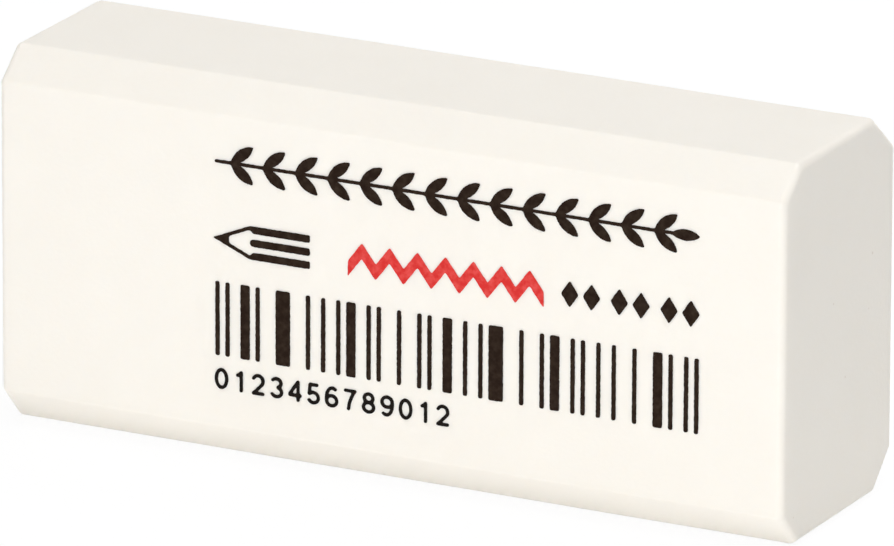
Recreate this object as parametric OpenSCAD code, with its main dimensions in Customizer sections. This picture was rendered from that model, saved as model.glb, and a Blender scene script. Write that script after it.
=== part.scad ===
// Small white drawing eraser: one moulded block with bevelled long edges,
// printed on its front face in two colours of ink.
// Millimetres. X runs along the block, the printed face looks along -Y and
// +Z is up. The origin is under the middle of the block, on the surface that
// it stands on.

/* [Block] */
// Length of the block, from end to end
block_length = 41; // [34:0.5:80]
// Height of the block, standing on its narrow side
block_height = 18.4; // [17:0.1:26]
// Thickness of the block, from the printed face to the back
block_thickness = 11.8; // [8:0.1:20]

/* [Bevels] */
// Top front bevel, measured back across the top
top_front_across = 1.7; // [0.8:0.05:2.6]
// Top front bevel, measured down the face
top_front_down = 1.45; // [0.8:0.05:2.2]
// Bottom front bevel, measured back across the underside
bottom_front_across = 1.55; // [0.8:0.05:2.6]
// Bottom front bevel, measured up the face
bottom_front_up = 1.65; // [0.8:0.05:2.2]
// Top back bevel, measured forward across the top
top_back_across = 2.25; // [0.8:0.05:2.6]
// Top back bevel, measured down the back
top_back_down = 1.85; // [0.8:0.05:2.6]
// Bottom back bevel, measured forward across the underside
bottom_back_across = 1.8; // [0.8:0.05:2.6]
// Bottom back bevel, measured up the back
bottom_back_up = 1.75; // [0.8:0.05:2.6]

/* [Rounded edges] */
// Radius of the eight long edges
long_edge_radius = 0.2; // [0.1:0.05:0.4]
// Radius of the softer edges around both ends
end_edge_radius = 0.35; // [0.1:0.05:0.6]

/* [Print] */
// Thickness of the ink on the face
ink_thickness = 0.03; // [0.02:0.01:0.1]
// Bare face to the left of the print
left_margin = 11.5; // [4:0.1:14]
// Bare face to the right of the print
right_margin = 4.3; // [2:0.1:6]
// Height of the leaf band above the middle of the face
band_rise = 5.5; // [4.8:0.1:5.6]
// Height of the row of signs above the middle of the face
sign_rise = 1.75; // [1.5:0.05:2]
// Height of the middle of the bars above the middle of the face
bars_rise = -2.2; // [-3:0.05:-1.9]

/* [Leaf band] */
// Length of one leaf, from tip to tip
leaf_length = 1.5; // [0.8:0.1:1.8]
// Width of one leaf at its middle
leaf_width = 0.55; // [0.3:0.05:0.7]
// Lean of the leaves away from the stem, in degrees
leaf_angle = 38; // [20:1:60]
// Distance from one pair of leaves to the next
leaf_step = 1.7; // [1.4:0.1:3]
// Thickness of the stem
stem_width = 0.16; // [0.1:0.02:0.3]

/* [Pencil sign] */
// How far the pencil starts to the left of the rest of the print
pencil_outset = 0.1; // [0:0.02:0.3]
// Length of the pencil, from its point to its open end
pencil_length = 5.1; // [4:0.1:6.5]
// Height of the pencil
pencil_height = 1.64; // [1.4:0.02:2]
// Length of the sharpened cone
cone_length = 1.95; // [1.6:0.05:2.6]
// Length of the black point
point_length = 0.85; // [0.6:0.05:1.2]
// Thickness of the lines along the shaft
shaft_line = 0.36; // [0.2:0.02:0.4]
// Thickness of the lines of the cone
cone_line = 0.17; // [0.1:0.01:0.2]

/* [Red zigzag] */
// Gap between the pencil and the zigzag
gap_before_zigzag = 2; // [0.5:0.1:3]
// Gap between the zigzag and the lozenges
gap_after_zigzag = 0.9; // [0.5:0.1:3]
// Height of the zigzag
zigzag_height = 1.7; // [1.2:0.1:2]
// Distance between one turn and the next
zigzag_step = 0.73; // [0.6:0.01:1.5]
// Thickness of one stroke
zigzag_line = 0.36; // [0.2:0.02:0.4]

/* [Lozenges] */
// Number of pairs of lozenges
lozenge_pairs = 3; // [1:1:3]
// Height of a lozenge
lozenge_height = 1.3; // [0.8:0.1:1.6]
// Width of a lozenge
lozenge_width = 0.9; // [0.6:0.05:1]
// Gap between the two lozenges of a pair
lozenge_gap = 0.22; // [0.1:0.02:0.4]
// Gap between one pair and the next
pair_gap = 0.53; // [0.4:0.01:1]

/* [Bars] */
// Height of the bars
bars_height = 3.65; // [2.5:0.05:3.8]
// Number of bars
bar_count = 30; // [10:1:40]
// How much narrower each bar prints than its whole modules
bar_shrink = 0.05; // [0:0.01:0.08]

/* [Hidden] */

// Facets asked for on every circle
round_facets = 48;
// Angle at which the rounding of a long edge meets the flats beside it
edge_crease = 5;

half_length = block_length / 2;
half_thickness = block_thickness / 2;
half_height = block_height / 2;

// The eight corners of the section as [depth, height] from its middle,
// starting at the top of the printed face and going down, back and up
corners = [
    [-half_thickness, half_height - top_front_down],
    [-half_thickness, -half_height + bottom_front_up],
    [-half_thickness + bottom_front_across, -half_height],
    [half_thickness - bottom_back_across, -half_height],
    [half_thickness, -half_height + bottom_back_up],
    [half_thickness, half_height - top_back_down],
    [half_thickness - top_back_across, half_height],
    [-half_thickness + top_front_across, half_height]
];
sides = len(corners);

function unit(v) = v / norm(v);
function total(list) = list * [for (item = list) 1];
// The length of one of as many even steps as best fill a length
function even_step(length, step) = length / max(1, round(length / step));

// Directions from corner i along the sides before and after it, and between them
function to_previous(i) = unit(corners[(i + sides - 1) % sides] - corners[i]);
function to_next(i) = unit(corners[(i + 1) % sides] - corners[i]);
function inward(i) = unit(to_previous(i) + to_next(i));
// Half of the angle inside corner i
function half_angle(i) = acos(to_previous(i) * to_next(i)) / 2;
// Distance from corner i to the centre of its rounding
function round_depth(i) = long_edge_radius * cos(edge_crease) / sin(half_angle(i));

// Everything on the inner side of side i, between the ends, with round edges
// where that side meets them
module inside_of_side(i) {
    reach = block_thickness + block_height;
    outward = [to_next(i)[1], -to_next(i)[0]];
    translate([0, corners[i][0], corners[i][1] + half_height])
        rotate([atan2(outward[1], outward[0]), 0, 0])
            linear_extrude(2 * reach, center = true) {
                translate([-half_length, -reach])
                    square([block_length, reach - end_edge_radius]);
                translate([-half_length + end_edge_radius, -reach])
                    square([block_length - 2 * end_edge_radius, reach]);
                for (end = [-1, 1])
                    translate([end * (half_length - end_edge_radius), -end_edge_radius])
                        circle(end_edge_radius, $fn = round_facets);
            }
}

// What a rounded long edge leaves off the section at corner i
module corner_waste(i) {
    reach = 2 * long_edge_radius;
    translate(corners[i])
        rotate(atan2(inward(i)[1], inward(i)[0]))
            difference() {
                translate([-reach, -reach])
                    square([reach + round_depth(i) * pow(cos(half_angle(i)), 2), 2 * reach]);
                translate([round_depth(i), 0])
                    circle(long_edge_radius, $fn = round_facets);
            }
}

// The moulded block: bounded by its eight sides, with its long edges rounded
module eraser_block() {
    color("#f8f5ea")
        difference() {
            intersection_for (i = [0 : sides - 1])
                inside_of_side(i);
            for (i = [0 : sides - 1])
                translate([0, 0, half_height])
                    rotate([90, 0, 90])
                        linear_extrude(2 * block_length, center = true)
                            corner_waste(i);
        }
}

// Length of the printed area, between its margins
print_length = block_length - left_margin - right_margin;

// Puts a flat drawing on the face as ink. Its X starts at the left of the
// print, and its Y at the middle height of the block.
module ink_on_face() {
    translate([-half_length + left_margin, -half_thickness, half_height])
        rotate([90, 0, 0])
            linear_extrude(ink_thickness)
                children();
}

// One leaf, pointed at both ends, lying along X from its foot
module leaf() {
    arc_radius = (pow(leaf_length, 2) + pow(leaf_width, 2)) / (4 * leaf_width);
    arc_offset = arc_radius - leaf_width / 2;
    translate([leaf_length / 2, 0])
        intersection_for (side = [-1, 1])
            translate([0, side * arc_offset])
                circle(arc_radius, $fn = 4 * round_facets);
}

// Band of paired leaves along a stem, ending in one leaf
module leaf_band() {
    stem_length = print_length - leaf_length;
    step = even_step(stem_length, leaf_step);
    translate([0, band_rise]) {
        translate([0, -stem_width / 2])
            square([print_length - leaf_length / 2, stem_width]);
        for (foot = [step / 2 : step : stem_length], side = [-1, 1])
            translate([foot, 0])
                rotate(side * leaf_angle)
                    leaf();
        translate([stem_length, 0])
            leaf();
    }
}

// Pencil in outline: a black point, two lines for the cone and three along the shaft
module pencil_sign() {
    shoulder = pencil_height / 2;
    // The cone's lines measured along X and Y, where cone_line is across them
    cone_line_x = cone_line * norm([cone_length, shoulder]) / shoulder;
    cone_line_y = cone_line * norm([cone_length, shoulder]) / cone_length;
    shaft_start = cone_length + shaft_line / 2;
    translate([-pencil_outset, sign_rise]) {
        polygon([
            [0, 0],
            [point_length, shoulder * point_length / cone_length],
            [point_length, -shoulder * point_length / cone_length]
        ]);
        for (side = [-1, 1])
            polygon([
                [0, 0],
                [cone_length, side * shoulder],
                [pencil_length, side * shoulder],
                [pencil_length, side * (shoulder - shaft_line)],
                [shaft_start, side * (shoulder - shaft_line)],
                [cone_length, side * (shoulder - cone_line_y)],
                [cone_line_x, 0]
            ]);
        translate([shaft_start, -shaft_line / 2])
            square([pencil_length - shaft_start, shaft_line]);
        translate([shaft_start, 0])
            circle(shaft_line / 2, $fn = round_facets);
    }
}

// Pairs of lozenges that end at the right of the print
lozenge_step = lozenge_width + lozenge_gap;
pair_step = lozenge_step + lozenge_width + pair_gap;
lozenges_start = print_length - lozenge_pairs * pair_step + pair_gap;

module lozenges() {
    for (pair = [0 : lozenge_pairs - 1], nth = [0, 1])
        translate([lozenges_start + pair * pair_step + nth * lozenge_step, sign_rise])
            polygon([
                [0, 0], [lozenge_width / 2, -lozenge_height / 2],
                [lozenge_width, 0], [lozenge_width / 2, lozenge_height / 2]
            ]);
}

// Zigzag between the pencil and the lozenges, one line of even thickness
module zigzag() {
    start = pencil_length - pencil_outset + gap_before_zigzag;
    length = lozenges_start - gap_after_zigzag - start;
    step = even_step(length, zigzag_step);
    turns = round(length / step);
    // Half of the line's thickness measured upwards, and how far its middle swings
    line_reach = zigzag_line * norm([step, zigzag_height - zigzag_line]) / step / 2;
    swing = zigzag_height / 2 - line_reach;
    middle = [for (i = [0 : turns]) [i * step, i % 2 == 0 ? -swing : swing]];
    translate([start, sign_rise])
        polygon(concat(
            [for (i = [0 : turns]) middle[i] + [0, line_reach]],
            [for (i = [turns : -1 : 0]) middle[i] - [0, line_reach]]
        ));
}

// Widths of the bars and of the gaps between them, as whole counts of one
// module, by a plain rule. They fill the printed length and stand for no number.
bar_modules = [for (i = [0 : bar_count - 1]) 1 + (i % 6 == 2 ? 1 : 0) + (i % 13 == 4 ? 2 : 0)];
gap_modules = [for (i = [0 : bar_count - 2]) 1 + ((i * i) % 7) % 4 + (i % 9 == 5 ? 1 : 0)];
module_width = print_length / (total(bar_modules) + total(gap_modules));
function modules_before(i) =
    i == 0 ? 0 : modules_before(i - 1) + bar_modules[i - 1] + gap_modules[i - 1];

module bars() {
    for (i = [0 : bar_count - 1])
        translate([modules_before(i) * module_width + bar_shrink / 2, bars_rise - bars_height / 2])
            square([bar_modules[i] * module_width - bar_shrink, bars_height]);
}

// The black ink
module black_print() {
    color("#2d241d")
        ink_on_face() {
            leaf_band();
            pencil_sign();
            lozenges();
            bars();
        }
}

// The red ink
module red_print() {
    color("#e03a35")
        ink_on_face()
            zigzag();
}

eraser_block();
black_print();
red_print();
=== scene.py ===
# %% [markdown]
# # A small white drawing eraser
#
# The object is one moulded block of soft white plastic with bevelled long edges, printed on its
# front face in black and red ink. The exact solids are loaded first, as a fixed frame in metres:
# X runs along the block, the printed face looks along -Y, and Z is up. The looks are then built
# on them: a finely divided block with slightly uneven faces, ink with ragged edges, a floor, soft
# lamps and a camera.

import math

import bmesh
import bpy
from mathutils import Matrix, Vector, noise


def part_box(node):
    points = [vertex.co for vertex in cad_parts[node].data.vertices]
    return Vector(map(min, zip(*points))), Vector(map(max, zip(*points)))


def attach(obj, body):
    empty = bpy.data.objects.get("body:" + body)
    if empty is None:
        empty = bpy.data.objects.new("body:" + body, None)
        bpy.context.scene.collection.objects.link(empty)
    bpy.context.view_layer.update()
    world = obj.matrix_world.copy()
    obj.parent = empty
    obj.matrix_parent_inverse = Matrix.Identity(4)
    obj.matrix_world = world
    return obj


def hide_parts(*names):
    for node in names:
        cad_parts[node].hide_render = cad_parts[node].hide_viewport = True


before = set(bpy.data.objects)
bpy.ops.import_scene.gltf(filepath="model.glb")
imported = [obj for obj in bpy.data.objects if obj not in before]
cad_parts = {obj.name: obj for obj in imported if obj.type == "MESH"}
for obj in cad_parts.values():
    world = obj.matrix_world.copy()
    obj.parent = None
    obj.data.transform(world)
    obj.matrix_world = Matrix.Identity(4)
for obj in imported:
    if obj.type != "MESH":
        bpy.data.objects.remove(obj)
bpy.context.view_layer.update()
MM = 0.001
QUARTER_TURN = math.radians(90)

block_low, block_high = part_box("eraser_block")
LENGTH, THICKNESS, HEIGHT = block_high - block_low
MIDDLE_HEIGHT = (block_low.z + block_high.z) / 2
print("block in mm:", [round(side / MM, 2) for side in (LENGTH, THICKNESS, HEIGHT)])

# %% [markdown]
# ## Camera
#
# A small object is best shown through a long lens from some way off, because a near camera would
# make its end look swollen. The camera could be aimed by hand, but two angles around the block and
# a distance are easier to read and to change. Two small distances then set where the block lies
# in the frame, and a slight roll turns it.

# %% Camera
VIEW_AZIMUTH = math.radians(27.051)
VIEW_ELEVATION = math.radians(17.939)
VIEW_ROLL = math.radians(0.209)
VIEW_DISTANCE = 0.6404  # in metres, along the view
VIEW_LENS = 551.0  # focal length in millimetres
BLOCK_RIGHT_OF_AXIS = -0.137 * MM
BLOCK_ABOVE_AXIS = 0.331 * MM
NEAREST_SEEN, FARTHEST_SEEN = 0.05, 20.0


def add_object(name, data):
    """Makes an object of its data and adds it to the scene."""
    made = bpy.data.objects.new(name, data)
    bpy.context.scene.collection.objects.link(made)
    return made


def make_camera():
    """The camera, which sees the middle of the block a little off the middle of its frame."""
    data = bpy.data.cameras.new("camera")
    data.lens = VIEW_LENS
    data.clip_start, data.clip_end = NEAREST_SEEN, FARTHEST_SEEN
    camera = add_object("camera", data)
    turn = (
        Matrix.Rotation(VIEW_AZIMUTH, 4, "Z")
        @ Matrix.Rotation(QUARTER_TURN - VIEW_ELEVATION, 4, "X")
        @ Matrix.Rotation(VIEW_ROLL, 4, "Z")
    )
    block_seen = Vector((BLOCK_RIGHT_OF_AXIS, BLOCK_ABOVE_AXIS, -VIEW_DISTANCE))
    place = Vector((0, 0, MIDDLE_HEIGHT)) - turn.to_3x3() @ block_seen
    camera.matrix_world = Matrix.Translation(place) @ turn
    bpy.context.scene.camera = camera
    return camera


camera = make_camera()
print("camera at", [round(c, 4) for c in camera.location])

# %% [markdown]
# ## Writing node trees by script
#
# Both Geometry Nodes and shaders are trees of nodes joined by links. A tree could be joined up
# link by link, but small helpers keep it readable: one adds a node and fills or links its inputs
# by name or number, one adds a Math node, and one maps a value from one range to another. Two
# more make a group with named sockets, and run a Geometry Nodes tree to get a plain mesh.

# %% Node helpers
def add_node(tree, kind, inputs=None, **settings):
    """Adds a node. inputs maps an input's name or number to a value or to a socket to link."""
    node = tree.nodes.new(kind)
    for name, value in settings.items():
        setattr(node, name, value)
    for key, value in (inputs or {}).items():
        if isinstance(value, bpy.types.NodeSocket):
            tree.links.new(value, node.inputs[key])
        else:
            node.inputs[key].default_value = value
    return node


def maths(tree, operation, *values):
    """Adds a Math node and returns its output."""
    node = add_node(tree, "ShaderNodeMath", dict(enumerate(values)), operation=operation)
    return node.outputs[0]


def spread(tree, value, low, high, to_low=0.0, to_high=1.0):
    """Maps a value from one range to another."""
    ranges = {"From Min": low, "From Max": high, "To Min": to_low, "To Max": to_high}
    return add_node(tree, "ShaderNodeMapRange", {"Value": value, **ranges}).outputs[0]


# %% Groups and plain meshes
def new_group(name, kind, sockets_in, sockets_out):
    """A node group with named inputs and outputs, as (tree, its input node, its output node)."""
    tree = bpy.data.node_groups.new(name, kind)
    for direction, sockets in (("INPUT", sockets_in), ("OUTPUT", sockets_out)):
        for name_shown, kind_held, *default in sockets:
            socket = tree.interface.new_socket(
                name_shown, in_out=direction, socket_type=kind_held
            )
            if default:
                socket.default_value = default[0]
    return tree, tree.nodes.new("NodeGroupInput"), tree.nodes.new("NodeGroupOutput")


def run_tree(name, mesh, tree, material, **values):
    """Runs a Geometry Nodes tree on a mesh and returns the result as a plain mesh object.

    The tree's other inputs are given by name, with _ for a space.
    """
    source = add_object(name + "_source", mesh)
    modifier = source.modifiers.new("build", "NODES")
    modifier.node_group = tree
    sockets = {s.name: s.identifier for s in tree.interface.items_tree if s.in_out == "INPUT"}
    modifier[sockets["Material"]] = material
    for socket_name, value in values.items():
        modifier[sockets[socket_name.replace("_", " ")]] = value
    bpy.context.view_layer.update()
    evaluated = source.evaluated_get(bpy.context.evaluated_depsgraph_get())
    made = bpy.data.meshes.new_from_object(evaluated)
    made.name = name
    bpy.data.objects.remove(source)
    piece = add_object(name, made)
    print(name, "has", len(made.vertices), "points and", len(made.polygons), "faces")
    return piece

# %% [markdown]
# ## The moulded block
#
# The real block is a bar of soft plastic pressed in a mould: eight long faces, two flat ends, and
# no truly sharp edge anywhere. A Bevel modifier on a box could round the edges, but the four
# bevels differ in size, and the faces need many small quads so that they can be a little uneven.
# So the section is drawn once as an outline with rounded corners, and rings of it are laid along
# the block, each drawn in a little at the ends. Both ends close on one point in the middle.

# %% The section's outline
TOP_FRONT = Vector((1.7, 1.45)) * MM  # across the thickness, along the height
BOTTOM_FRONT = Vector((1.55, 1.65)) * MM
BOTTOM_BACK = Vector((1.8, 1.75)) * MM
TOP_BACK = Vector((2.25, 1.85)) * MM
LONG_EDGE_RADIUS = 0.2 * MM
END_EDGE_RADIUS = 0.38 * MM
QUAD_SIZE = 0.4 * MM
LONG_ARC_STEPS = 4
END_ARC_STEPS = 6
CAP_RINGS = (0.03, 0.12, 0.25, 0.4, 0.55, 0.7, 0.85)  # sizes of an end's rings, 1 is its edge


def section_corners():
    """The eight corners as (depth, height), down the printed face first and then round the back."""
    deep, high = THICKNESS / 2, HEIGHT / 2
    return [
        Vector((-deep, high - TOP_FRONT.y)),
        Vector((-deep, BOTTOM_FRONT.y - high)),
        Vector((BOTTOM_FRONT.x - deep, -high)),
        Vector((deep - BOTTOM_BACK.x, -high)),
        Vector((deep, BOTTOM_BACK.y - high)),
        Vector((deep, high - TOP_BACK.y)),
        Vector((deep - TOP_BACK.x, high)),
        Vector((TOP_FRONT.x - deep, high)),
    ]


def outline(inset):
    """The section drawn in by inset: points that run round it, with every corner rounded."""
    corners = section_corners()
    count = len(corners)
    sides = [corners[(i + 1) % count] - corners[i] for i in range(count)]
    arcs = []
    for i, corner in enumerate(corners):
        before, after = sides[i - 1].normalized(), sides[i].normalized()
        half_angle = math.acos(-before.dot(after)) / 2
        inward = (after - before).normalized()
        centre = corner + inward * (inset + LONG_EDGE_RADIUS) / math.sin(half_angle)
        outward = [Vector((side.y, -side.x)) for side in (before, after)]
        arcs.append([
            centre + outward[0].lerp(outward[1], k / LONG_ARC_STEPS).normalized() * LONG_EDGE_RADIUS
            for k in range(LONG_ARC_STEPS + 1)
        ])
    points = []
    for i, arc in enumerate(arcs):
        steps = round(sides[i].length / QUAD_SIZE)
        reach = arcs[(i + 1) % count][0]
        points += arc + [arc[-1].lerp(reach, k / steps) for k in range(1, steps)]
    return points


print("corners in mm:", [tuple(round(c / MM, 2) for c in point) for point in section_corners()])
print("points round the section:", len(outline(0.0)))

# %% Rings along the block
def ring_places():
    """Where each ring lies along X, how far it is drawn in, and how much it is shrunk."""
    end = LENGTH / 2
    cap = [(end, END_EDGE_RADIUS, share) for share in CAP_RINGS]
    round_edge = []
    for k in range(END_ARC_STEPS + 1):
        angle = QUARTER_TURN * k / END_ARC_STEPS
        along = end - END_EDGE_RADIUS * (1 - math.cos(angle))
        round_edge.append((along, END_EDGE_RADIUS * (1 - math.sin(angle)), 1.0))
    half = cap + round_edge
    span = round_edge[-1][0]
    count = round(2 * span / QUAD_SIZE)
    middle = [(span - 2 * span * k / count, 0.0, 1.0) for k in range(1, count)]
    return half + middle + [(-x, inset, shrink) for x, inset, shrink in reversed(half)]


def make_block_mesh(name):
    """Rings of the outline, joined by quads, with a point in the middle of each end."""
    rings = ring_places()
    points = [Vector((LENGTH / 2, 0, MIDDLE_HEIGHT))]
    for x, inset, shrink in rings:
        points += [Vector((x, p.x * shrink, MIDDLE_HEIGHT + p.y * shrink)) for p in outline(inset)]
    points.append(Vector((-LENGTH / 2, 0, MIDDLE_HEIGHT)))
    around = (len(points) - 2) // len(rings)
    faces = []
    for k in range(around):
        following = (k + 1) % around
        faces.append((0, 1 + k, 1 + following))
        last = len(points) - 1 - around
        faces.append((len(points) - 1, last + following, last + k))
        for ring in range(len(rings) - 1):
            here, there = 1 + ring * around, 1 + (ring + 1) * around
            faces.append((here + k, there + k, there + following, here + following))
    mesh = bpy.data.meshes.new(name)
    mesh.from_pydata(points, [], faces)
    mesh.validate()
    mesh.shade_smooth()
    return mesh


block_mesh = make_block_mesh("soft_block")
print("rings:", len(ring_places()), "faces:", len(block_mesh.polygons))

# %% [markdown]
# A moulded face is never a perfect plane: the plastic shrinks a little as it cools. A bump in the
# finish would bend the light but leave the outline dead straight, so the mesh itself is moved.
# Every point goes inwards by a smooth noise, at most two hundredths of a millimetre, which is too
# little to see as a shape. It only goes inwards, so the size stays right.

# %% Uneven faces
UNEVEN_DEPTH = 0.02 * MM
UNEVEN_SIZE = 7.0 * MM
FINER = 2.3  # how many times finer the second, weaker noise is
FINER_SHARE = 0.5  # of the first noise's strength


def make_uneven(mesh):
    """Moves every point of a mesh inwards by a smooth noise of two sizes."""
    normals = [vertex.normal.copy() for vertex in mesh.vertices]
    for vertex, normal in zip(mesh.vertices, normals):
        height = noise.noise(vertex.co / UNEVEN_SIZE)
        height += FINER_SHARE * noise.noise(vertex.co * FINER / UNEVEN_SIZE)
        share = min(max(0.5 + 0.5 * height, 0.0), 1.0)
        vertex.co -= normal * UNEVEN_DEPTH * share


make_uneven(block_mesh)
soft_block = add_object("soft_block", block_mesh)
print("block now measures", [round(side / MM, 3) for side in soft_block.dimensions], "mm")

# %% [markdown]
# ## The ink
#
# The print is a thin film that a soft pad pressed onto the face. Its drawing is exact in the
# solids, but real ink never ends on a perfect line: it creeps a little and rounds the corners. A
# texture could bite into the ink, but never reach past its outline. So one Geometry Nodes tree
# changes the outline of any flat drawing: it keeps the faces that look forwards, turns their rim
# into curves, puts close points along them, rounds the corners, moves each point by noise, fills
# the curves again and gives the film its thickness.

# %% The rim of a drawing
NO_GAP = 1e-7  # points that lie closer than this, in metres, are made one
FACES_FORWARDS = -0.9  # a face looks forwards if its normal's Y is below this


def merge_close(tree, geometry):
    """Joins the points that lie on each other."""
    inputs = {"Geometry": geometry, "Distance": NO_GAP}
    return add_node(tree, "GeometryNodeMergeByDistance", inputs).outputs[0]


def flat_rim(tree, drawing, spacing):
    """The rim of the faces that look forwards, as curves with close points, laid flat."""
    normal = add_node(tree, "GeometryNodeInputNormal").outputs[0]
    facing = add_node(tree, "ShaderNodeSeparateXYZ", {0: normal})
    forwards = maths(tree, "LESS_THAN", facing.outputs["Y"], FACES_FORWARDS)
    sheet = add_node(
        tree,
        "GeometryNodeSeparateGeometry",
        {"Geometry": drawing, "Selection": forwards},
        domain="FACE",
    )
    sheet = merge_close(tree, sheet.outputs[0])
    neighbours = add_node(tree, "GeometryNodeInputMeshEdgeNeighbors")
    on_rim = maths(tree, "LESS_THAN", neighbours.outputs[0], 1.5)  # an edge of one face only
    rim = add_node(tree, "GeometryNodeMeshToCurve", {"Mesh": sheet, "Selection": on_rim})
    rim = add_node(
        tree,
        "GeometryNodeResampleCurve",
        {"Curve": rim.outputs[0], "Length": spacing},
        mode="LENGTH",
    )
    laid = {"Geometry": rim.outputs[0], "Rotation": (-QUARTER_TURN, 0, 0)}
    return add_node(tree, "GeometryNodeTransform", laid).outputs[0]


# %% A rim that creeps
def rounded_rim(tree, rim, place, passes):
    """The rim with its corners rounded, by giving each point the average of its neighbours."""
    averaged = add_node(
        tree,
        "GeometryNodeBlurAttribute",
        {"Value": place, "Iterations": passes},
        data_type="FLOAT_VECTOR",
    )
    moved = {"Geometry": rim, "Position": averaged.outputs[0]}
    return add_node(tree, "GeometryNodeSetPosition", moved).outputs[0]


def crept_rim(tree, rim, place, given):
    """The rim with every point moved by noise, as far as half the creep each way."""
    wobble = add_node(
        tree,
        "ShaderNodeTexNoise",
        {
            "Vector": place,
            "W": given["Seed"],
            "Scale": maths(tree, "DIVIDE", 1.0, given["Creep Size"]),
            "Detail": 1.0,
        },
        noise_dimensions="4D",
    )
    centred = add_node(
        tree,
        "ShaderNodeVectorMath",
        {0: wobble.outputs["Color"], 1: (0.5, 0.5, 0.5)},
        operation="SUBTRACT",
    )
    offset = add_node(
        tree,
        "ShaderNodeVectorMath",
        {0: centred.outputs[0], "Scale": given["Creep"]},
        operation="SCALE",
    )
    moved = {"Geometry": rim, "Offset": offset.outputs[0]}
    return add_node(tree, "GeometryNodeSetPosition", moved).outputs[0]


# %% A film on the face
def standing_film(tree, rim, depth, thickness):
    """A flat rim filled, stood up at the face, and given a thickness and a back."""
    filled = add_node(tree, "GeometryNodeFillCurve", {"Curve": rim}).outputs[0]
    at_face = add_node(tree, "ShaderNodeCombineXYZ", {"Y": depth}).outputs[0]
    stood = {"Geometry": filled, "Translation": at_face, "Rotation": (QUARTER_TURN, 0, 0)}
    standing = add_node(tree, "GeometryNodeTransform", stood).outputs[0]
    film = add_node(
        tree,
        "GeometryNodeExtrudeMesh",
        {"Mesh": standing, "Offset Scale": thickness, "Individual": False},
    )
    back = add_node(tree, "GeometryNodeFlipFaces", {"Mesh": standing})
    closed = add_node(tree, "GeometryNodeJoinGeometry", {"Geometry": back.outputs[0]})
    tree.links.new(film.outputs[0], closed.inputs[0])
    return merge_close(tree, closed.outputs[0])


def end_tree(tree, geometry, material, output):
    """Ends a tree: its instances are made real, and its material is set."""
    real = add_node(tree, "GeometryNodeRealizeInstances", {"Geometry": geometry}).outputs[0]
    finished = {"Geometry": real, "Material": material}
    made = add_node(tree, "GeometryNodeSetMaterial", finished)
    tree.links.new(made.outputs[0], output)


# %% A tree that prints a drawing
def make_ink_tree():
    """The whole tree, with a named input for each size of the film."""
    tree, given, result = new_group(
        "ragged_ink",
        "GeometryNodeTree",
        [
            ("Drawing", "NodeSocketGeometry"),
            ("Face Depth", "NodeSocketFloat", block_low.y),
            ("Film Thickness", "NodeSocketFloat", 0.03 * MM),
            ("Point Spacing", "NodeSocketFloat", 0.05 * MM),
            ("Corner Rounding", "NodeSocketInt", 2),
            ("Creep", "NodeSocketFloat", 0.03 * MM),
            ("Creep Size", "NodeSocketFloat", 0.15 * MM),
            ("Seed", "NodeSocketFloat", 1.0),
            ("Material", "NodeSocketMaterial"),
        ],
        [("Film", "NodeSocketGeometry")],
    )
    given = given.outputs
    place = add_node(tree, "GeometryNodeInputPosition").outputs[0]
    rim = flat_rim(tree, given["Drawing"], given["Point Spacing"])
    rim = rounded_rim(tree, rim, place, given["Corner Rounding"])
    rim = crept_rim(tree, rim, place, given)
    film = standing_film(tree, rim, given["Face Depth"], given["Film Thickness"])
    end_tree(tree, film, given["Material"], result.inputs["Film"])
    return tree


ink_tree = make_ink_tree()
print("ink tree has", len(ink_tree.nodes), "nodes")

# %% [markdown]
# ## Finishes
#
# All the finishes read Object coordinates, which are in metres, so they are first multiplied up
# to millimetres. Two effects are shared by more than one material. They could be copied into each,
# but as node groups they are built once, with inputs for what differs: a fine uneven grain, which
# every surface here has, and the wear of a printed film, with pinholes and thin places where the
# ink did not take.

# %% Grain, an effect that all the finishes share
def make_grain_group():
    """Fine grain and soft blotches over a surface, as two values between 0 and 1."""
    tree, given, result = new_group(
        "surface_grain",
        "ShaderNodeTree",
        [
            ("Place", "NodeSocketVector"),
            ("Grain Size", "NodeSocketFloat", 0.2),
            ("Blotch Size", "NodeSocketFloat", 5.0),
        ],
        [("Grain", "NodeSocketFloat"), ("Blotches", "NodeSocketFloat")],
    )
    for size, output, detail in (("Grain Size", "Grain", 3.0), ("Blotch Size", "Blotches", 4.0)):
        scale = maths(tree, "DIVIDE", 1.0, given.outputs[size])
        clouds = add_node(
            tree,
            "ShaderNodeTexNoise",
            {"Vector": given.outputs["Place"], "Scale": scale, "Detail": detail},
        )
        tree.links.new(clouds.outputs["Fac"], result.inputs[output])
    return tree


GRAIN = make_grain_group()
print("shared effect:", GRAIN.name)

# %% Wear, an effect that all the inks share
HOLE_CORE = 0.6  # share of a pinhole's radius that is quite bare


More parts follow.
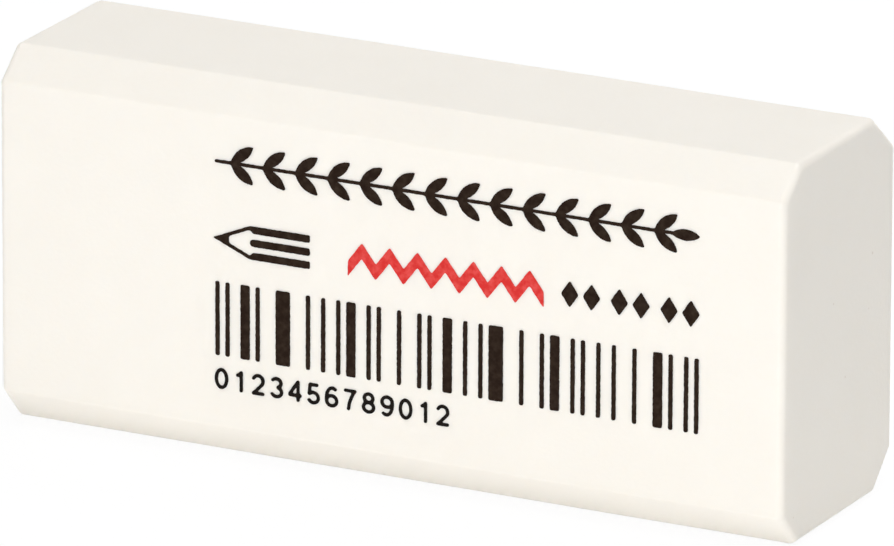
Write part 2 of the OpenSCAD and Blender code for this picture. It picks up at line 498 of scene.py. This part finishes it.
def make_wear_group():
    """Cover is 1 on full ink and 0 in a pinhole. Thinness says where the film is thin."""
    tree, given, result = new_group(
        "ink_wear",
        "ShaderNodeTree",
        [
            ("Place", "NodeSocketVector"),
            ("Pinhole Spacing", "NodeSocketFloat", 0.6),
            ("Pinhole Size", "NodeSocketFloat", 0.08),
            ("Pinhole Share", "NodeSocketFloat", 0.35),
            ("Thin Size", "NodeSocketFloat", 0.35),
        ],
        [("Cover", "NodeSocketFloat"), ("Thinness", "NodeSocketFloat")],
    )
    given = given.outputs
    scale = maths(tree, "DIVIDE", 1.0, given["Pinhole Spacing"])
    cells = add_node(tree, "ShaderNodeTexVoronoi", {"Vector": given["Place"], "Scale": scale})
    cell_value = add_node(tree, "ShaderNodeSeparateColor", {0: cells.outputs["Color"]})
    chosen = maths(tree, "LESS_THAN", cell_value.outputs[0], given["Pinhole Share"])
    largest = maths(tree, "DIVIDE", given["Pinhole Size"], given["Pinhole Spacing"])
    radius = maths(tree, "MULTIPLY", largest, cell_value.outputs[1])
    core = maths(tree, "MULTIPLY", radius, HOLE_CORE)
    inside = spread(tree, cells.outputs["Distance"], core, radius, 1.0, 0.0)
    hole = maths(tree, "MULTIPLY", chosen, inside)
    tree.links.new(maths(tree, "SUBTRACT", 1.0, hole), result.inputs["Cover"])
    fine = maths(tree, "DIVIDE", 1.0, given["Thin Size"])
    patches = {"Vector": given["Place"], "Scale": fine, "Detail": 4.0}
    thin = add_node(tree, "ShaderNodeTexNoise", patches)
    tree.links.new(thin.outputs["Fac"], result.inputs["Thinness"])
    return tree


WEAR = make_wear_group()
print("shared effect:", WEAR.name)

# %% Material helpers
NOISE_LOW, NOISE_HIGH = 0.3, 0.7  # the middle of a noise's range, spread to the whole


def new_material(name):
    """A material with a Principled shader, as (material, tree, shader, place in millimetres)."""
    material = bpy.data.materials.new(name)
    material.use_nodes = True
    tree = material.node_tree
    shader = tree.nodes["Principled BSDF"]
    place = add_node(tree, "ShaderNodeTexCoord").outputs["Object"]
    enlarged = {"Vector": place, "Scale": (1 / MM, 1 / MM, 1 / MM)}
    millimetres = add_node(tree, "ShaderNodeMapping", enlarged)
    return material, tree, shader, millimetres.outputs[0]


def mix_colours(tree, share, first, second):
    """The first colour where the share is 0, and the second where it is 1."""
    mixed = add_node(tree, "ShaderNodeMix", {0: share, 6: first, 7: second}, data_type="RGBA")
    return mixed.outputs[2]


def bump(tree, shader, height, depth):
    """Raises a height from 0 to 1 by a depth in metres on the shader's normal."""
    inputs = {"Height": height, "Distance": depth, "Strength": 1.0}
    raised = add_node(tree, "ShaderNodeBump", inputs)
    tree.links.new(raised.outputs[0], shader.inputs["Normal"])

# %% [markdown]
# ### White plastic
#
# The plastic is a warm, slightly yellowish white that lets a little light in, so its edges look
# soft. It has a satin surface and faint clouds in its colour. The ends have a few faint specks of
# dust: each cell of a Voronoi texture may hold one. The specks are a flat pattern, because one
# in three dimensions would show only those cells that the end happens to cut.

# %% Specks on the ends
SPECK = (0.8, 0.74, 0.66, 1)
SPECK_SPACING = 1.3  # in millimetres, as is the radius
SPECK_RADIUS = 0.14
SPECK_SHARE = 0.035  # share of the cells that hold one
SPECK_CORE = 0.4  # share of the radius inside which a speck is at its darkest
END_TURN = (0, math.radians(83), 0)  # lays an end almost flat on X and Y
ENDS_BEGIN = (LENGTH / 2 - END_EDGE_RADIUS / 4) / MM  # in millimetres from the middle


def end_specks(tree, place):
    """1 in a speck and 0 elsewhere, with specks on the two ends alone."""
    across = add_node(tree, "ShaderNodeMapping", {"Vector": place, "Rotation": END_TURN})
    cells = add_node(
        tree,
        "ShaderNodeTexVoronoi",
        {"Vector": across.outputs[0], "Scale": 1 / SPECK_SPACING},
        voronoi_dimensions="2D",
    )
    cell_value = add_node(tree, "ShaderNodeSeparateColor", {0: cells.outputs["Color"]})
    chosen = maths(tree, "LESS_THAN", cell_value.outputs[0], SPECK_SHARE)
    radius = maths(tree, "MULTIPLY", cell_value.outputs[1], SPECK_RADIUS / SPECK_SPACING)
    from_centre = maths(tree, "DIVIDE", cells.outputs["Distance"], radius)
    inside = spread(tree, from_centre, SPECK_CORE, 1.0, 1.0, 0.0)
    along = add_node(tree, "ShaderNodeSeparateXYZ", {0: place}).outputs["X"]
    at_end = maths(tree, "GREATER_THAN", maths(tree, "ABSOLUTE", along), ENDS_BEGIN)
    return maths(tree, "MULTIPLY", maths(tree, "MULTIPLY", chosen, inside), at_end)


print("specks lie beyond", round(ENDS_BEGIN, 2), "mm from the middle")

# %% White plastic
PLASTIC = (0.925, 0.887, 0.818, 1)
PLASTIC_SHADED = (0.916, 0.876, 0.804, 1)
PLASTIC_GRAIN_SIZE = 0.22  # in millimetres, as is the size of the clouds
PLASTIC_CLOUD_SIZE = 4.0
PLASTIC_GRAIN_DEPTH = 0.01 * MM
PLASTIC_ROUGHNESS = (0.5, 0.62)
LIGHT_REACH = 0.35 * MM  # how far red light spreads inside, and the others less


def make_plastic():
    """The finish of the block."""
    material, tree, shader, place = new_material("soft_white_plastic")
    grain = add_node(
        tree,
        "ShaderNodeGroup",
        {"Place": place, "Grain Size": PLASTIC_GRAIN_SIZE, "Blotch Size": PLASTIC_CLOUD_SIZE},
        node_tree=GRAIN,
    )
    clouds = spread(tree, grain.outputs["Blotches"], NOISE_LOW, NOISE_HIGH)
    clean = mix_colours(tree, clouds, PLASTIC, PLASTIC_SHADED)
    specked = mix_colours(tree, end_specks(tree, place), clean, SPECK)
    tree.links.new(specked, shader.inputs["Base Color"])
    satin = spread(tree, grain.outputs["Grain"], NOISE_LOW, NOISE_HIGH, *PLASTIC_ROUGHNESS)
    tree.links.new(satin, shader.inputs["Roughness"])
    shader.subsurface_method = "BURLEY"
    shader.inputs["Subsurface Weight"].default_value = 0.6
    shader.inputs["Subsurface Radius"].default_value = (1.0, 0.8, 0.55)
    shader.inputs["Subsurface Scale"].default_value = LIGHT_REACH
    shader.inputs["IOR"].default_value = 1.45
    bump(tree, shader, grain.outputs["Grain"], PLASTIC_GRAIN_DEPTH)
    return material


plastic = make_plastic()
soft_block.data.materials.append(plastic)
print("finish of the block:", plastic.name)

# %% [markdown]
# ### Ink
#
# The inks differ only in their two colours, one for full ink and one for the thin places, where
# the plastic shows through. In a pinhole the plastic is bare, so there each ink takes its colour.
# The small digits get a deeper black than the rest, because strokes so thin look paler. One
# function makes them all, so that they stay alike.

# %% Ink finishes
BLACK, THIN_BLACK = (0.014, 0.0058, 0.0025, 1), (0.034, 0.021, 0.013, 1)
DEEP_BLACK, THIN_DEEP_BLACK = (0.004, 0.0025, 0.0015, 1), (0.015, 0.01, 0.007, 1)
RED, THIN_RED = (0.67, 0.034, 0.03, 1), (0.77, 0.095, 0.085, 1)
INK_GRAIN_SIZE = 0.1  # in millimetres
INK_GRAIN_DEPTH = 0.004 * MM
INK_ROUGHNESS = (0.5, 0.7)
THIN_FROM, THIN_TO = 0.4, 0.75  # between these values of Thinness the ink turns from full to thin


def make_ink(name, ink, thin_ink):
    """The finish of an ink, which ends in the plastic's colour at its pinholes."""
    material, tree, shader, place = new_material(name)
    wear = add_node(tree, "ShaderNodeGroup", {"Place": place}, node_tree=WEAR)
    thin = spread(tree, wear.outputs["Thinness"], THIN_FROM, THIN_TO)
    covered = mix_colours(tree, thin, ink, thin_ink)
    seen = mix_colours(tree, wear.outputs["Cover"], PLASTIC, covered)
    tree.links.new(seen, shader.inputs["Base Color"])
    grain = add_node(
        tree,
        "ShaderNodeGroup",
        {"Place": place, "Grain Size": INK_GRAIN_SIZE},
        node_tree=GRAIN,
    )
    dull = spread(tree, grain.outputs["Grain"], NOISE_LOW, NOISE_HIGH, *INK_ROUGHNESS)
    tree.links.new(dull, shader.inputs["Roughness"])
    shader.inputs["Specular IOR Level"].default_value = 0.08
    bump(tree, shader, grain.outputs["Grain"], INK_GRAIN_DEPTH)
    return material


black_ink = make_ink("printed_black", BLACK, THIN_BLACK)
digit_ink = make_ink("printed_digits", DEEP_BLACK, THIN_DEEP_BLACK)
red_ink = make_ink("printed_red", RED, THIN_RED)
print("inks:", black_ink.name, digit_ink.name, red_ink.name)

# %% [markdown]
# ## Printing the drawings
#
# The drawings of the two inks are copied from the solids, so that the print can't drift away from
# them. Drawing them again here would only repeat every size. The solids' meshes are loose
# triangles, so the copies are merged first.

# %% Print the solids' drawings
INK_BACK = 0.03 * MM  # how far the film's back lies inside the plastic
INK_PROUD = 0.03 * MM  # how far its front stands out
PRINT_CREEP = 0.05 * MM


def merged_copy(node_name):
    """A copy of a solid's mesh with its loose triangles joined and no material."""
    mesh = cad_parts[node_name].data.copy()
    work = bmesh.new()
    work.from_mesh(mesh)
    bmesh.ops.remove_doubles(work, verts=work.verts, dist=NO_GAP)
    work.to_mesh(mesh)
    work.free()
    mesh.materials.clear()
    return mesh


def print_drawing(name, drawing, ink, seed, creep):
    """A film of ink on the face, with the outline of a drawing."""
    return run_tree(
        name,
        drawing,
        ink_tree,
        ink,
        Face_Depth=block_low.y + INK_BACK,
        Film_Thickness=INK_BACK + INK_PROUD,
        Creep=creep,
        Seed=seed,
    )


black_film = print_drawing("black_film", merged_copy("black_print"), black_ink, 3.0, PRINT_CREEP)
red_film = print_drawing("red_film", merged_copy("red_print"), red_ink, 8.0, PRINT_CREEP)

# %% [markdown]
# The row of small digits under the bars is only ink and has no solid. A text object could write
# it, but the round, even-stroked digits of such print are easy to draw: each is a few straight
# strokes and arcs of one pen width. A second tree gives the strokes their width and joins the
# ones that cross into one outline, and the ink tree then prints them like the rest.

# %% Arcs, ovals and turned strokes
DIGIT_HEIGHT = 1.05 * MM
PEN = 0.155  # pen width, where a digit is 1 high, as are all the sizes of the strokes
DIGIT_WIDTH = 0.68
LEFT, RIGHT = PEN / 2, DIGIT_WIDTH - PEN / 2
LOW, HIGH = PEN / 2, 1 - PEN / 2
CENTRE = DIGIT_WIDTH / 2


def arc(x, y, across, along, start, end, steps=18):
    """Points on an oval about (x, y) with two radii, from one angle to another in degrees."""
    angles = [math.radians(start + (end - start) * k / steps) for k in range(steps + 1)]
    return [(x + across * math.cos(a), y + along * math.sin(a)) for a in angles]


def oval(x, y, across, along):
    """A closed oval about (x, y). The None at its end says that it is closed."""
    return arc(x, y, across, along, 0, 360, 28)[:-1] + [None]


def half_turned(strokes):
    """The strokes of a digit turned upside down."""
    return [[p and (DIGIT_WIDTH - p[0], 1 - p[1]) for p in stroke] for stroke in strokes]


print("pen width on the face in mm:", round(PEN * DIGIT_HEIGHT / MM, 3))

# %% Strokes of the ten digits
WAIST = 0.52  # height at which the 3 and the 8 are pinched
UPPER = (HIGH - WAIST) / 2
LOWER = (WAIST - LOW) / 2
SIX = [
    oval(CENTRE, LOW + 0.24, RIGHT - CENTRE, 0.24),
    arc(CENTRE + 0.035, 0.44, CENTRE + 0.035 - LEFT, HIGH - 0.44, 48, 205, 22),
]
DIGIT_STROKES = {  # a stroke that ends in None is closed
    "0": [oval(CENTRE, 0.5, RIGHT - CENTRE, 0.5 - LOW)],
    "1": [[(0.41, 0), (0.41, 1)], [(0.44, 0.9), (0.17, 0.74)]],
    "2": [
        arc(CENTRE, HIGH - 0.26, RIGHT - CENTRE - 0.01, 0.26, 172, -32) + [(LEFT + 0.03, LOW)],
        [(0.02, LOW), (DIGIT_WIDTH - 0.03, LOW)],
    ],
    "3": [
        arc(CENTRE, WAIST + UPPER, RIGHT - CENTRE - 0.03, UPPER, 165, -90),
        arc(CENTRE, LOW + LOWER, RIGHT - CENTRE, LOWER, 90, -168),
    ],
    "4": [[(0.5, 0), (0.5, 1)], [(0.5, 0.94), (0.06, 0.29)], [(0.01, 0.29), (0.68, 0.29)]],
    "5": [
        [(0.16, HIGH), (0.6, HIGH)],
        [(0.19, 1), (0.13, 0.42)],
        arc(CENTRE, LOW + 0.245, RIGHT - CENTRE, 0.245, 148, -165),
    ],
    "6": SIX,
    "7": [[(0.03, HIGH), (0.66, HIGH)], [(0.59, 0.97), (0.42, 0.66), (0.3, 0.34), (0.25, 0)]],
    "8": [
        oval(CENTRE, WAIST + UPPER, RIGHT - CENTRE - 0.04, UPPER),
        oval(CENTRE, LOW + LOWER, RIGHT - CENTRE, LOWER),
    ],
    "9": half_turned(SIX),
}
print("strokes:", sum(len(strokes) for strokes in DIGIT_STROKES.values()))

# %% A tree that gives the strokes their width
def make_pen_tree():
    """Draws lines with a flat nib and joins the strokes that cross."""
    tree, given, result = new_group(
        "pen_strokes",
        "GeometryNodeTree",
        [
            ("Strokes", "NodeSocketGeometry"),
            ("Pen Width", "NodeSocketFloat", PEN),
            ("Pen Depth", "NodeSocketFloat", 0.2),
            ("Material", "NodeSocketMaterial"),
        ],
        [("Digits", "NodeSocketGeometry")],
    )
    given = given.outputs
    lines = add_node(tree, "GeometryNodeMeshToCurve", {"Mesh": given["Strokes"]})
    upright = add_node(tree, "GeometryNodeSetCurveNormal", {"Curve": lines.outputs[0]}, mode="Z_UP")
    nib = add_node(
        tree,
        "GeometryNodeCurvePrimitiveQuadrilateral",
        {"Width": given["Pen Width"], "Height": given["Pen Depth"]},
    )
    drawn = add_node(
        tree,
        "GeometryNodeCurveToMesh",
        {"Curve": upright.outputs[0], "Profile Curve": nib.outputs[0], "Fill Caps": True},
    )
    joined = add_node(
        tree,
        "GeometryNodeMeshBoolean",
        {1: drawn.outputs[0], "Self Intersection": True},
        operation="UNION",
        solver="EXACT",
    )
    end_tree(tree, joined.outputs[0], given["Material"], result.inputs["Digits"])
    return tree


pen_tree = make_pen_tree()
print("pen tree has", len(pen_tree.nodes), "nodes")

# %% The row of digits
DIGITS = "0123456789012"
DIGIT_STEP = 0.97 * MM
DIGITS_START = block_low.x + 11.48 * MM  # the left side of the first digit's place
DIGITS_BASE = 3.52 * MM  # height of the foot of the row
DIGIT_CREEP = 0.03 * MM


def digits_drawing():
    """All the digits, drawn flat with a pen and stood up at their place on the face."""
    points, edges = [], []
    for k, digit in enumerate(DIGITS):
        for stroke in DIGIT_STROKES[digit]:
            closed = stroke[-1] is None
            drawn = stroke[:-1] if closed else stroke
            first = len(points)
            points += [(x + k * DIGIT_STEP / DIGIT_HEIGHT, y, 0) for x, y in drawn]
            edges += [(first + i, first + i + 1) for i in range(len(drawn) - 1)]
            if closed:
                edges.append((first + len(drawn) - 1, first))
    strokes = bpy.data.meshes.new("digit_strokes")
    strokes.from_pydata(points, edges, [])
    widened = run_tree("wide_digits", strokes, pen_tree, black_ink)
    mesh = widened.data
    mesh.transform(
        Matrix.Translation((DIGITS_START, block_low.y, DIGITS_BASE))
        @ Matrix.Rotation(QUARTER_TURN, 4, "X")
        @ Matrix.Scale(DIGIT_HEIGHT, 4)
    )
    bpy.data.objects.remove(widened)
    return mesh


digits_film = print_drawing("digits_film", digits_drawing(), digit_ink, 5.0, DIGIT_CREEP)

# %% [markdown]
# ## Floor and background
#
# White things are shown on white. More light on the block would turn the background white too, but
# would burn the block out. So the floor is a pale matte disc that answers the camera with almost
# plain white and keeps a faint shadow, and the world does the same for what lies past the disc.
# Metal or glass beside the block would mirror and show the same white.

# %% What the camera sees
def seen_by_camera(tree):
    """1 for what the camera sees, directly or by metal or glass, and 0 for light on a surface."""
    path = add_node(tree, "ShaderNodeLightPath")
    seen = maths(tree, "MAXIMUM", path.outputs["Is Camera Ray"], path.outputs["Is Glossy Ray"])
    return maths(tree, "MAXIMUM", seen, path.outputs["Is Transmission Ray"])


# %% Floor
FLOOR_RADIUS = 1.2
FLOOR_DROP = 0.02 * MM  # below the block, so that the two never share a plane
FLOOR_PALE, FLOOR_PALER = (0.96, 0.965, 0.975, 1), (0.97, 0.975, 0.985, 1)
FLOOR_BLOTCH_SIZE = 60.0  # in millimetres
FLOOR_WHITE = 1.02  # how bright the camera sees the floor, where 1 is white
FLOOR_WHITE_SHARE = 0.9  # the rest is the lit floor itself, with its shadow


def make_floor_material():
    """A matte finish that the camera sees as almost plain white."""
    material, tree, shader, place = new_material("pale_floor")
    grain = add_node(
        tree,
        "ShaderNodeGroup",
        {"Place": place, "Blotch Size": FLOOR_BLOTCH_SIZE},
        node_tree=GRAIN,
    )
    pale = mix_colours(tree, grain.outputs["Blotches"], FLOOR_PALE, FLOOR_PALER)
    tree.links.new(pale, shader.inputs["Base Color"])
    shader.inputs["Roughness"].default_value = 0.9
    glow = {"Color": (1, 1, 1, 1), "Strength": FLOOR_WHITE}
    white = add_node(tree, "ShaderNodeEmission", glow)
    share = maths(tree, "MULTIPLY", seen_by_camera(tree), FLOOR_WHITE_SHARE)
    blend = {0: share, 1: shader.outputs[0], 2: white.outputs[0]}
    blended = add_node(tree, "ShaderNodeMixShader", blend)
    tree.links.new(blended.outputs[0], tree.nodes["Material Output"].inputs["Surface"])
    return material


def make_floor():
    """A wide disc just below the block."""
    mesh = bpy.data.meshes.new("floor")
    work = bmesh.new()
    bmesh.ops.create_circle(work, cap_ends=True, segments=96, radius=FLOOR_RADIUS)
    work.to_mesh(mesh)
    work.free()
    mesh.transform(Matrix.Translation((0, 0, -FLOOR_DROP)))
    mesh.materials.append(make_floor_material())
    return add_object("floor", mesh)


floor = make_floor()
print("floor is", round(floor.dimensions.x, 3), "m across")

# %% World
WORLD_LIGHT = 0.3


def make_world():
    """An even pale light on the block, behind which the camera sees white."""
    world = bpy.data.worlds.new("studio")
    world.use_nodes = True
    tree = world.node_tree
    strength = spread(tree, seen_by_camera(tree), 0.0, 1.0, WORLD_LIGHT, 1.0)
    background = tree.nodes["Background"]
    tree.links.new(strength, background.inputs["Strength"])
    background.inputs["Color"].default_value = (1, 1, 1, 1)
    bpy.context.scene.world = world


make_world()
bpy.context.scene.view_settings.view_transform = "Standard"
print("light from all round:", WORLD_LIGHT)

# %% [markdown]
# ## Lamps
#
# One strong lamp would give hard shadows and burn out a face, and an even light alone would show
# every face alike. Four soft square lamps shape the block instead. A broad one above and a broad
# one above and behind light the top. A small one low in front lights the printed face and the
# bevel below it, and a weak one beside the right end keeps that end from going dull.

# %% Lamps
LAMPS = {  # the direction from the block, the distance, the length of a side, the power in watts
    "top_lamp": ((0.12, -0.1, 1.0), 0.4, 0.3, 0.68),
    "back_lamp": ((0.05, 0.6, 0.8), 0.45, 0.3, 0.62),
    "low_front_lamp": ((0.15, -1.0, 0.05), 0.35, 0.03, 0.515),
    "end_lamp": ((1.0, 0.3, 0.1), 0.4, 0.1, 0.1),
}


def make_lamp(name, direction, distance, size, power):
    """Adds a square lamp that shines at the middle of the block from a direction."""
    data = bpy.data.lights.new(name, "AREA")
    data.size = size
    data.energy = power
    lamp = add_object(name, data)
    lamp.location = Vector(direction).normalized() * distance + Vector((0, 0, MIDDLE_HEIGHT))
    lamp.rotation_euler = Vector(direction).to_track_quat("Z", "Y").to_euler()


for lamp_name, settings in LAMPS.items():
    make_lamp(lamp_name, *settings)
print("lamps:", ", ".join(LAMPS))

# %% [markdown]
# ## Tie the pieces to the frame
#
# The eraser is one rigid body, "root", and every piece rides on it. The fine block and the two
# films are shown in place of their solids, which are hidden here and stay in the physics model. The
# row of digits has no solid, so it hides none.

# %% Bodies, and the solids that the pieces replace
for piece, node_name, slot_name in (
    (soft_block, "eraser_block", "white_plastic"),
    (black_film, "black_print", "black_ink"),
    (red_film, "red_print", "red_ink"),
    (digits_film, None, "black_ink"),
):
    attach(piece, "root")
    if node_name:
        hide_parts(node_name)
